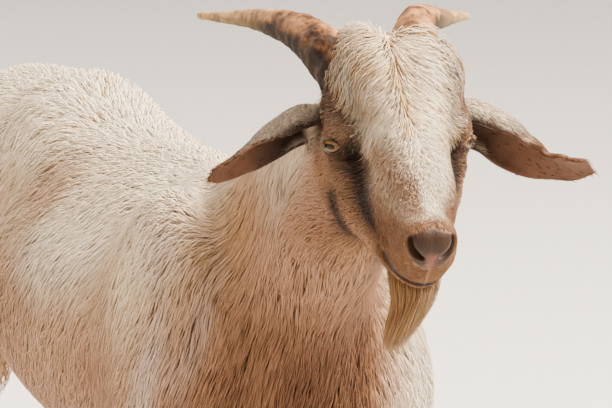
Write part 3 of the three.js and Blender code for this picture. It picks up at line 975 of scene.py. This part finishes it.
def earColours(points, normals, colours, share):
    # brown bare skin inside the ears, grey-white hair outside them
    facing = (normals @ headTurn) @ unit(np.array((0.0, -0.9, -0.42)))
    inside = smooth(-0.1, 0.35, facing)
    grain = 0.5 + 0.5 * ripple(points, 14, 3)
    reach = smooth(74, 128, np.abs(toHead(points)[:, 0]) + 4 * ripple(points, 30, 2))
    hollow = mix(shades["earDeep"], shades["earInside"], reach[:, None])
    far = smooth(100, 134, np.abs(toHead(points)[:, 0]))[:, None]
    ear = mix(mix(shades["earOutside"], shades["earTip"], far), hollow, inside[:, None])
    # painted shade: soft darker bands inside the ears, as shade in their folds
    ear = mix(ear, ear * 0.6, (0.5 * grain * inside)[:, None])
    return mix(colours, ear, share[:, None])


# the skin's unwrap: each region is laid flat on its own part of the sheet
def unwrapSkin(piece):
    bpy.context.view_layer.objects.active = piece
    for thing in bpy.context.selected_objects:
        thing.select_set(False)
    piece.select_set(True)
    piece.data.uv_layers.new(name="OFBake")
    bpy.ops.object.mode_set(mode="EDIT")
    bpy.ops.mesh.select_all(action="SELECT")
    bpy.ops.uv.smart_project(angle_limit=math.radians(62), island_margin=0.002)
    bpy.ops.object.mode_set(mode="OBJECT")
    piece.select_set(False)


# ---- the coat's locks ----

class Roots:
    # places on the skin from which locks grow
    def __init__(self, mesh):
        mesh.calc_loop_triangles()
        count = len(mesh.loop_triangles)
        corners = np.empty(count * 3, dtype=int)
        mesh.loop_triangles.foreach_get("vertices", corners)
        loops = np.empty(count * 3, dtype=int)
        mesh.loop_triangles.foreach_get("loops", loops)
        self.corners, self.loops = corners.reshape(-1, 3), loops.reshape(-1, 3)
        self.places = toGoat(coordsOf(mesh))
        self.normals = vertexNormals(mesh)
        uv = np.empty(len(mesh.loops) * 2)
        mesh.uv_layers["OFBake"].data.foreach_get("uv", uv)
        self.uv = uv.reshape(-1, 2)
        colour = np.empty(len(mesh.vertices) * 4)
        mesh.color_attributes["coatColour"].data.foreach_get("color", colour)
        self.colour = colour.reshape(-1, 4)[:, :3]
        a, b, c = (self.places[self.corners[:, i]] for i in range(3))
        self.area = np.linalg.norm(np.cross(b - a, c - a), axis=1) / 2
        self.middle = (a + b + c) / 3

    def pick(self, density, number):
        # density is a weight for each triangle
        weight = self.area * density
        chosen = rng.choice(len(weight), number, p=weight / weight.sum())
        share = rng.random((number, 2))
        flip = share.sum(axis=1) > 1
        share[flip] = 1 - share[flip]
        mixing = np.c_[1 - share.sum(axis=1), share][:, :, None]
        corners, loops = self.corners[chosen], self.loops[chosen]
        return {"place": (self.places[corners] * mixing).sum(axis=1),
                "normal": unit((self.normals[corners] * mixing).sum(axis=1)),
                "uv": (self.uv[loops] * mixing).sum(axis=1),
                "colour": (self.colour[corners] * mixing).sum(axis=1)}


def locksMesh(name, spine, sideways, upward, width, thick, colour, tipColour, uv):
    # spine is (locks, rings + 1, 3): one closed tapering prism for each lock
    count, rings = len(spine), spine.shape[1] - 1
    taper = np.array({2: [0.85, 0.85], 3: [0.75, 1.0, 0.72], 4: [0.7, 1.0, 0.9, 0.6]}[rings])
    corner = np.array([(-0.5, 0.0), (0.5, 0.0), (0.0, 1.0)])
    wide = (width[:, None] * taper)[:, :, None, None] * corner[:, 0][None, None, :, None]
    high = (thick[:, None] * taper)[:, :, None, None] * corner[:, 1][None, None, :, None]
    around = (spine[:, :rings, None, :] + sideways[:, :rings, None, :] * wide
              + upward[:, :rings, None, :] * high)
    verts = np.concatenate([around.reshape(count, rings * 3, 3), spine[:, rings:, :]], axis=1)
    each = rings * 3 + 1
    last = rings * 3 - 3
    quads = [(r * 3 + i, r * 3 + (i + 1) % 3, r * 3 + 3 + (i + 1) % 3, r * 3 + 3 + i)
             for r in range(rings - 1) for i in range(3)]
    triangles = [(2, 1, 0)] + [(last + i, last + (i + 1) % 3, last + 3) for i in range(3)]
    first = (np.arange(count) * each)[:, None, None]
    loopVerts = np.concatenate([(first + np.array(quads)).reshape(count, -1),
                                (first + np.array(triangles)).reshape(count, -1)], axis=1).ravel()
    sizes = np.tile([4] * len(quads) + [3] * 4, count)
    mesh = bpy.data.meshes.new(name)
    mesh.vertices.add(count * each)
    mesh.loops.add(loopVerts.size)
    mesh.polygons.add(len(sizes))
    mesh.vertices.foreach_set("co", toFrame(verts.reshape(-1, 3)).ravel())
    mesh.loops.foreach_set("vertex_index", loopVerts)
    mesh.polygons.foreach_set("loop_start", np.concatenate([[0], np.cumsum(sizes)[:-1]]))
    mesh.polygons.foreach_set("loop_total", sizes)
    mesh.update(calc_edges=True)
    share = np.append(np.repeat(np.linspace(0, 0.75, rings), 3), 1.0)
    shade = colour[:, None, :] + (tipColour - colour)[:, None, :] * share[None, :, None]
    setColour(mesh, shade.reshape(-1, 3))
    local = np.stack([np.append(np.tile([0.0, 1.0, 0.5], rings), 0.5), share], axis=1)
    strand = np.tile(local, (count, 1, 1)) + rng.random((count, 1, 2)) * 40
    patch = uv[:, None, :] + (local[None] - 0.5) * 0.003
    for layerName, places in (("strand", strand), ("OFBake", patch)):
        layer = mesh.uv_layers.new(name=layerName)
        layer.data.foreach_set("uv", places.reshape(-1, 2)[loopVerts].ravel())
    return mesh


lockSteps = {2: ((0.5, 0.92), (0.5, 0.84)), 3: ((0.34, 0.66), (0.34, 1.0), (0.32, 0.86)),
             4: ((0.25, 0.55), (0.25, 0.95), (0.25, 1.0), (0.25, 0.9))}


def finishLocks(name, spine, outward, roots, width, style):
    number = len(spine)
    along = unit(np.gradient(spine, axis=1))
    sideways = unit(np.cross(along, outward))
    upward = unit(np.cross(sideways, along))
    tone = 1 + rng.normal(0, style["tone"], (number, 1))
    warm = rng.normal(0, 0.5 * style["tone"], (number, 1)) * np.array((0.0, 0.4, 1.0))
    base = roots["colour"] * (tone + warm)
    tip = roots.get("tipColour", base) * (tone + warm) * style["tipShade"]
    return locksMesh(name, spine, sideways, upward, width, width * style["flat"],
                     np.clip(base * style["rootShade"], 0.004, 1), np.clip(tip, 0.004, 1),
                     roots["uv"])


def overFeature(h):
    # true where a lock would hang over an eye, the mouth or the bare nose
    m = bent(h)
    over = (nosePad(m) > 0.8) | (pathDistance(m, "mouth") < 3.2)
    for side in (1, -1):
        u, v, out, far, _, _ = eyeAngles(h, side)
        over |= (openingShare(u, v) < 1.35) & (out > 0) & (far < 30)
    return over


def growLocks(name, roots, style):
    # locks that leave the skin, lie down and follow it, up to the coat's outline
    number = len(roots["place"])
    base = roots["place"] - roots["normal"] * 1.2
    where = regions(roots["place"])
    depth = coatDepth(roots["place"], where)
    length = style["length"](roots["place"], where) * rng.uniform(0.7, 1.25, number)
    width = style["width"](roots["place"], where) * rng.uniform(0.7, 1.3, number)
    rise = style["rise"] * rng.uniform(style["low"], 1.05, number)
    point, normal = base, roots["normal"]
    spine, outward = [base], [normal]
    stray = rng.normal(0, style["stray"], (number, 3))
    for reach, height in lockSteps[style["rings"]]:
        flow = lieOf(point, normal, regions(point))
        flow = unit(flow + stray + rng.normal(0, style["stray"] * 0.5, (number, 3)))
        point = point + flow * (length * reach)[:, None]
        value = fleshField(point)
        normal = unit(slopeOf(fleshField, point, value))
        aim = np.minimum(-depth * (1 - height * rise), -0.2)
        point = point + normal * np.clip(aim - value, -length * 0.4, length * 0.4)[:, None]
        spine.append(point)
        outward.append(normal)
    roots["tipColour"] = mix(roots["colour"], markingsAndPaintedLight(point), style["follow"])
    spine, outward = np.stack(spine, axis=1), np.stack(outward, axis=1)
    keep = ~overFeature(toHead(spine[:, 1:].reshape(-1, 3))).reshape(number, -1).any(axis=1)
    roots = {key: value[keep] for key, value in roots.items()}
    return finishLocks(name, spine[keep], outward[keep], roots, width[keep], style)


def bodyLength(points, where):
    low = smooth(620, 430, points[:, 2])
    length = mix(30.0, 46.0, low)
    length = mix(length, 38.0, where["neck"])
    length = mix(length, 18.0, smooth(0.0, 0.7, where["head"]))
    length = mix(length, mix(24.0, 10.0, smooth(330, 200, points[:, 2])), where["leg"])
    return mix(length, 58.0, where["tail"])


def bodyWidth(points, where):
    return mix(mix(1.6, 1.2, where["neck"]), 1.15, where["leg"])


def faceLength(points, where):
    h = where["local"]
    length = mix(8.0, 17.0, smooth(-75, 40, h[:, 1]))
    length = mix(length, 5.0, where["muzzle"])
    length = mix(26.0, length, smooth(0.4, 1.0, where["head"]))
    m = bent(h)
    return mix(length, 4.0, lobe(m, eyePlace + eyeAxis * 12, (19, 19, 14)))


def faceWidth(points, where):
    return mix(0.95, 0.65, where["muzzle"])


def crownLength(points, where):
    h = where["local"]
    length = mix(20.0, 46.0, smooth(-25, 20, h[:, 1]) * smooth(5, 40, h[:, 2]))
    return length * (1 - 0.5 * smooth(28, 50, np.abs(h[:, 0])))


def crownWidth(points, where):
    return np.full(len(points), 1.05)


coatStyles = {
    "body": {"follow": 0.5, "length": bodyLength, "width": bodyWidth, "rings": 2, "rise": 1.0,
             "low": 0.78, "stray": 0.05, "tone": 0.06, "flat": 0.16, "rootShade": 0.9,
             "tipShade": 1.03},
    "leg": {"follow": 0.5, "length": bodyLength, "width": bodyWidth, "rings": 2, "rise": 1.0,
            "low": 0.6, "stray": 0.06, "tone": 0.06, "flat": 0.25, "rootShade": 0.88,
            "tipShade": 1.04},
    "face": {"follow": 0.9, "length": faceLength, "width": faceWidth, "rings": 2, "rise": 1.0,
             "low": 0.6, "stray": 0.09, "tone": 0.09, "flat": 0.25, "rootShade": 0.86,
             "tipShade": 1.05},
    "crown": {"follow": 0.75, "length": crownLength, "width": crownWidth, "rings": 3, "rise": 1.0,
              "low": 0.55, "stray": 0.06, "tone": 0.10, "flat": 0.28, "rootShade": 0.88,
              "tipShade": 1.05},
    "beard": {"rings": 4, "tone": 0.10, "flat": 0.4, "rootShade": 0.85, "tipShade": 1.08},
    "ear": {"rings": 2, "tone": 0.08, "flat": 0.3, "rootShade": 0.85, "tipShade": 1.08},
}


def furMask(h):
    # 0 on the nose pad, lips and inside the eyes' openings
    m = bent(h)
    mask = 1 - nosePad(m)
    mask *= smooth(2.2, 3.6, pathDistance(m, "mouth"))
    for side in (1, -1):
        u, v, out, far, _, _ = eyeAngles(h, side)
        mask *= 1 - (openingShare(u, v) < 1.4) * (out > 0) * (far < 24)
    return mask


beard = {"widths": (23, 20, 15, 7), "locks": 3400, "lockWidth": 0.8}


def growBeard(roots):
    # long locks from the chin that draw together towards the beard's tip
    chin = fromHead((0, -112, -66))
    axis = chin + np.array([(-3, 16, 6), (-3, 18, -16), (-6, 26, -40), (-14, 38, -68)])
    number = len(roots["place"])
    start = roots["place"] - roots["normal"] * 1.5
    offset = (start - axis[0]) * (1, 1, 0)
    offset /= np.maximum(beard["widths"][0], np.linalg.norm(offset, axis=1))[:, None]
    reach = rng.uniform(0.45, 1.0, number) ** 0.7
    sway = rng.normal(0, 1.3, (number, 3))
    spine = [start]
    for step in (0.25, 0.5, 0.75, 1.0):
        share = reach * step
        centre = curveAt(axis, share)
        width = np.interp(share, np.linspace(0, 1, 4), beard["widths"])
        hung = centre + offset * width[:, None] + sway * step
        hung += 1.6 * np.sin(share * 9 + offset[:, 0] * 5)[:, None] * np.array((1, 0.5, 0))
        spine.append(mix(start - (0, 0, 1) * (share * 70)[:, None], hung, smooth(0, 0.45, step)))
    spine = np.stack(spine, axis=1)
    outward = np.repeat(unit(offset + np.array((0, -0.3, 0.01)))[:, None, :], 5, axis=1)
    pale = smooth(-0.6, 1.2, offset[:, 0:1] + rng.normal(0, 0.35, (number, 1)))
    golden = mix(shades["beard"], shades["cream"], 0.3 * pale)
    roots["colour"] = golden * (1 + 0.1 * rng.normal(0, 1, (number, 1)))
    width = beard["lockWidth"] * rng.uniform(0.7, 1.3, number)
    return finishLocks("coat_beard", spine, outward, roots, width, coatStyles["beard"])


def growEarHair(roots):
    # short hair that lies along the ears
    h = toHead(roots["place"])
    side = np.sign(h[:, 0])
    number = len(h)
    flow = unit(np.stack([side * 0.85, -0.35 - 0 * side, -0.3 - 0 * side], axis=1)) @ headTurn.T
    flow = unit(flow + rng.normal(0, 0.14, (number, 3)))
    flow = unit(flow - roots["normal"] * np.sum(flow * roots["normal"], axis=1, keepdims=True))
    length = rng.uniform(4.5, 8.5, number)[:, None]
    start = roots["place"] - roots["normal"] * 0.8
    middle = start + flow * length * 0.5 + roots["normal"] * 1.5
    end = start + flow * length + roots["normal"] * rng.uniform(0.9, 2.0, number)[:, None]
    outward = np.repeat(roots["normal"][:, None, :], 3, axis=1)
    return finishLocks("coat_ears", np.stack([start, middle, end], axis=1), outward, roots,
                       rng.uniform(0.6, 1.0, number), coatStyles["ear"])


def makeCoat(roots, material):
    middle = roots.middle
    where = regions(middle)
    h = where["local"]
    ear = nearEar(middle)
    onEar = ear >= 0.5
    head = (where["head"] > 0.5) & ~onEar
    long_ = smooth(8, 30, h[:, 2]) * smooth(58, 42, np.abs(h[:, 0])) * smooth(-38, -14, h[:, 1])
    parting = 1 + 1.5 * smooth(14, 2, np.abs(h[:, 0] + 6))
    face = head * furMask(h) * (1 - 0.8 * long_) * (0.8 + 1.2 * smooth(-40, -80, h[:, 1]))
    body = (~head) & ~onEar
    legs = where["leg"] > 0.5
    front = body & (middle[:, 1] <= 60) & ~legs
    back = body & (middle[:, 1] > 60) & ~legs
    shown = 1 + 0.7 * (middle[:, 0] < 20)
    facing = unit(roots.normals[roots.corners[:, 0]]) @ headTurn @ unit(np.array((0.0, -0.9, -0.42)))
    inner = smooth(0.1, 0.4, facing)
    collar = front * (where["neck"] > 0.4) * shown
    fore = front * (where["neck"] <= 0.4) * shown
    batches = [("coat_face_a", face, 13000, "face"), ("coat_face_b", face, 13000, "face"),
               ("coat_face_c", face, 13000, "face"),
               ("coat_crown", head * long_ * parting * furMask(h), 12000, "crown"),
               ("coat_neck", collar, 19500, "body"), ("coat_fore_a", fore, 19500, "body"),
               ("coat_fore_b", fore, 19500, "body"), ("coat_rear", back * shown, 16000, "body"),
               ("coat_legs", legs & body, 9000, "leg")]
    slots = {"face": "face_coat", "leg": "leg_coat"}
    for name, density, number, style in batches:
        mesh = growLocks(name, roots.pick(density.astype(float), number), coatStyles[style])
        newPiece(name, mesh, material, slots.get(style, "coat"))
        print("grown:", name, number)
    newPiece("coat_ears", growEarHair(roots.pick(onEar * (1 - 0.97 * inner), 5500)), material,
             "ear_coat")
    chin = np.array((0, -92, -73))
    under = head * smooth(30, 22, np.linalg.norm((h - chin) * (1.1, 0.85, 1.2), axis=1))
    under *= smooth(mix(-60, -68, smooth(-98, -108, h[:, 1])), mix(-66, -73, smooth(-98, -108, h[:, 1])), h[:, 2])
    newPiece("coat_beard", growBeard(roots.pick(under, beard["locks"])), material, "coat", "beard")


# ---- eyes, horns and hooves ----

iris = {"radius": 11.4, "pupilWidth": 5.6, "pupilHeight": 2.3}


def makeEye(name, material):
    side = 1 if name == "left" else -1
    bm = bmesh.new()
    bmesh.ops.create_uvsphere(bm, u_segments=144, v_segments=96, radius=eyeball["radius"])
    centre, axis = eyePlace * (side, 1, 1), eyeAxis * (side, 1, 1)
    turn = Vector((0, 0, 1)).rotation_difference(Vector(fromHead(axis) - headCentre)).to_matrix()
    bmesh.ops.rotate(bm, verts=bm.verts, matrix=turn)
    points = np.array([vert.co[:] for vert in bm.verts]) @ headTurn
    level = unit(np.cross(plumb * (side, 1, 1), axis))
    u = points @ level
    v = points @ np.cross(axis, level)
    out = points @ axis
    far = np.hypot(u, v)
    colour = np.tile((0.045, 0.026, 0.018), (len(points), 1))
    front = out > 0
    ring = (far / iris["radius"])[:, None]
    spokes = 0.5 + 0.5 * np.sin(np.arctan2(v, u) * 37)[:, None]
    amber = mix(np.array((0.18, 0.080, 0.021)), np.array((0.07, 0.029, 0.009)), smooth(0.35, 1.0, ring))
    amber = amber * (0.85 + 0.3 * spokes)
    amber = mix(amber, np.array((0.05, 0.025, 0.015)), smooth(0.86, 1.0, ring))
    colour = np.where((ring < 1.02) & front[:, None], amber, colour)
    pupil = (np.abs(u) / iris["pupilWidth"]) ** 4 + (np.abs(v) / iris["pupilHeight"]) ** 4
    colour = np.where((pupil < 1)[:, None] & front[:, None], np.array((0.006, 0.005, 0.005)), colour)
    bulge = 0.7 * smooth(iris["radius"], 3.0, far) * front
    place = points + axis * bulge[:, None] + centre
    for vert, spot in zip(bm.verts, toFrame(fromHead(place))):
        vert.co = spot
    mesh = bpy.data.meshes.new("eyeball_" + name)
    bm.to_mesh(mesh)
    bm.free()
    setColour(mesh, colour, "irisColour")
    return newPiece("eyeball_" + name, mesh, material, "eye", "eye_" + name)


def dressNode(node, material):
    thing = bpy.data.objects[node]
    thing.data.materials.clear()
    thing.data.materials.append(material)


def makeHorn(name, material):
    # the node's own shape, smoothed, with growth rings raised on it
    bm = bmesh.new()
    bm.from_mesh(bpy.data.objects["horn_" + name].data)
    bmesh.ops.remove_doubles(bm, verts=bm.verts, dist=1e-5)
    mesh = bpy.data.meshes.new("sheath_" + name)
    bm.to_mesh(mesh)
    bm.free()
    thing = scratch("hornScratch", mesh)
    remesh = thing.modifiers.new("even", "REMESH")
    remesh.mode = "VOXEL"
    remesh.voxel_size = 0.0014
    mesh = applied(thing)
    relax(mesh, np.full(len(mesh.vertices), 0.5), 14)
    points = toGoat(coordsOf(mesh))
    h = toHead(points)
    share = np.clip((h[:, 1] - 20) / 215, 0, 1)
    normals = vertexNormals(mesh)
    rings = np.sin(share * 80 + 2.4 * ripple(points, 34, 2)) * (1 - share) ** 0.7
    flakes = ripple(points, 9, 5) * 0.5 + ripple(points, 5, 7) * 0.3
    points += normals * (0.5 * rings + 0.7 * flakes * (1 - 0.6 * share) + 0.5)[:, None]
    setCoords(mesh, toFrame(points))
    setValue(mesh, share, "along")
    # the down- and back-facing sides, for the painted shade under the horn
    below = -normals[:, 2] - 0.35 * normals[:, 1] + 0.2 * ripple(points, 20, 1)
    setValue(mesh, smooth(-0.4, 0.1, below), "under")
    return newPiece("sheath_" + name, mesh, material, "horn_sheath", "horn_" + name)


# ---- putting it together ----

print("skin")
skinMesh = makeSkin()
skinPiece = newPiece("skin", skinMesh, skinMaterial(), "coat", *(fleshNodes + earNodes))
unwrapSkin(skinPiece)
print("coat")
hair = hairMaterial()
roots = Roots(skinMesh)
makeCoat(roots, hair)
print("eyes, horns and hooves")
eyeGloss = eyeMaterial()
sheath = hornMaterial()
for sideName in ("left", "right"):
    makeEye(sideName, eyeGloss)
    makeHorn(sideName, sheath)
hoof = hoofMaterial()
for node in list(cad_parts):
    if str(node).startswith("claw"):
        dressNode(node, hoof)

# ---- floor, light and camera ----

studio = {"floorSize": 30.0, "worldLight": 0.5}
bm = bmesh.new()
bmesh.ops.create_grid(bm, x_segments=1, y_segments=1, size=studio["floorSize"])
floorMesh = bpy.data.meshes.new("floor")
bm.to_mesh(floorMesh)
bm.free()
floor = bpy.data.objects.new("floor", floorMesh)
bpy.context.scene.collection.objects.link(floor)
floorMesh.materials.append(floorMaterial())

world = bpy.data.worlds.new("studio")
world.use_nodes = True
world.node_tree.nodes["Background"].inputs["Color"].default_value = (1.0, 0.965, 0.93, 1)
world.node_tree.nodes["Background"].inputs["Strength"].default_value = studio["worldLight"]
bpy.context.scene.world = world

softLights = [
    {"name": "key", "place": (2.2, -1.2, 3.5), "size": 1.0, "power": 1150, "colour": (1, 0.91, 0.77)},
    {"name": "fill", "place": (-2.8, -3.0, 1.8), "size": 2.4, "power": 60, "colour": (1, 0.93, 0.84)},
    {"name": "rim", "place": (-1.8, 2.6, 2.8), "size": 1.2, "power": 340, "colour": (1, 0.9, 0.76)},
]
for setup in softLights:
    data = bpy.data.lights.new(setup["name"], "AREA")
    data.energy, data.size, data.color = setup["power"], setup["size"], setup["colour"]
    lamp = bpy.data.objects.new(setup["name"], data)
    bpy.context.scene.collection.objects.link(lamp)
    lamp.location = setup["place"]
    aim = Vector((0, -0.3, 0.55)) - Vector(setup["place"])
    lamp.rotation_euler = aim.to_track_quat("-Z", "Y").to_euler()

view = {"azimuth": -25.0, "elevation": 12.0, "distance": 4.5, "focal": 5400.0,
        "aim": (2.0, -486.0, 722.0), "aimPixel": (399.0, 143.0), "frame": (612, 408)}
azimuth, elevation = math.radians(view["azimuth"]), math.radians(view["elevation"])
backward = Vector((math.sin(azimuth) * math.cos(elevation),
                   -math.cos(azimuth) * math.cos(elevation), math.sin(elevation)))
rightward = Vector((math.cos(azimuth), math.sin(azimuth), 0))
upward = backward.cross(rightward)
offX = (view["aimPixel"][0] - view["frame"][0] / 2) / view["focal"]
offY = (view["frame"][1] / 2 - view["aimPixel"][1]) / view["focal"]
aimed = Vector(toFrame(view["aim"]))
place = aimed - (-backward + rightward * offX + upward * offY) * view["distance"]
cameraData = bpy.data.cameras.new("camera")
cameraData.sensor_width = 36
cameraData.lens = view["focal"] / view["frame"][0] * 36
cameraData.clip_end = 100
camera = bpy.data.objects.new("camera", cameraData)
bpy.context.scene.collection.objects.link(camera)
camera.matrix_world = Matrix(((rightward.x, upward.x, backward.x, place.x),
                              (rightward.y, upward.y, backward.y, place.y),
                              (rightward.z, upward.z, backward.z, place.z), (0, 0, 0, 1)))
bpy.context.scene.camera = camera
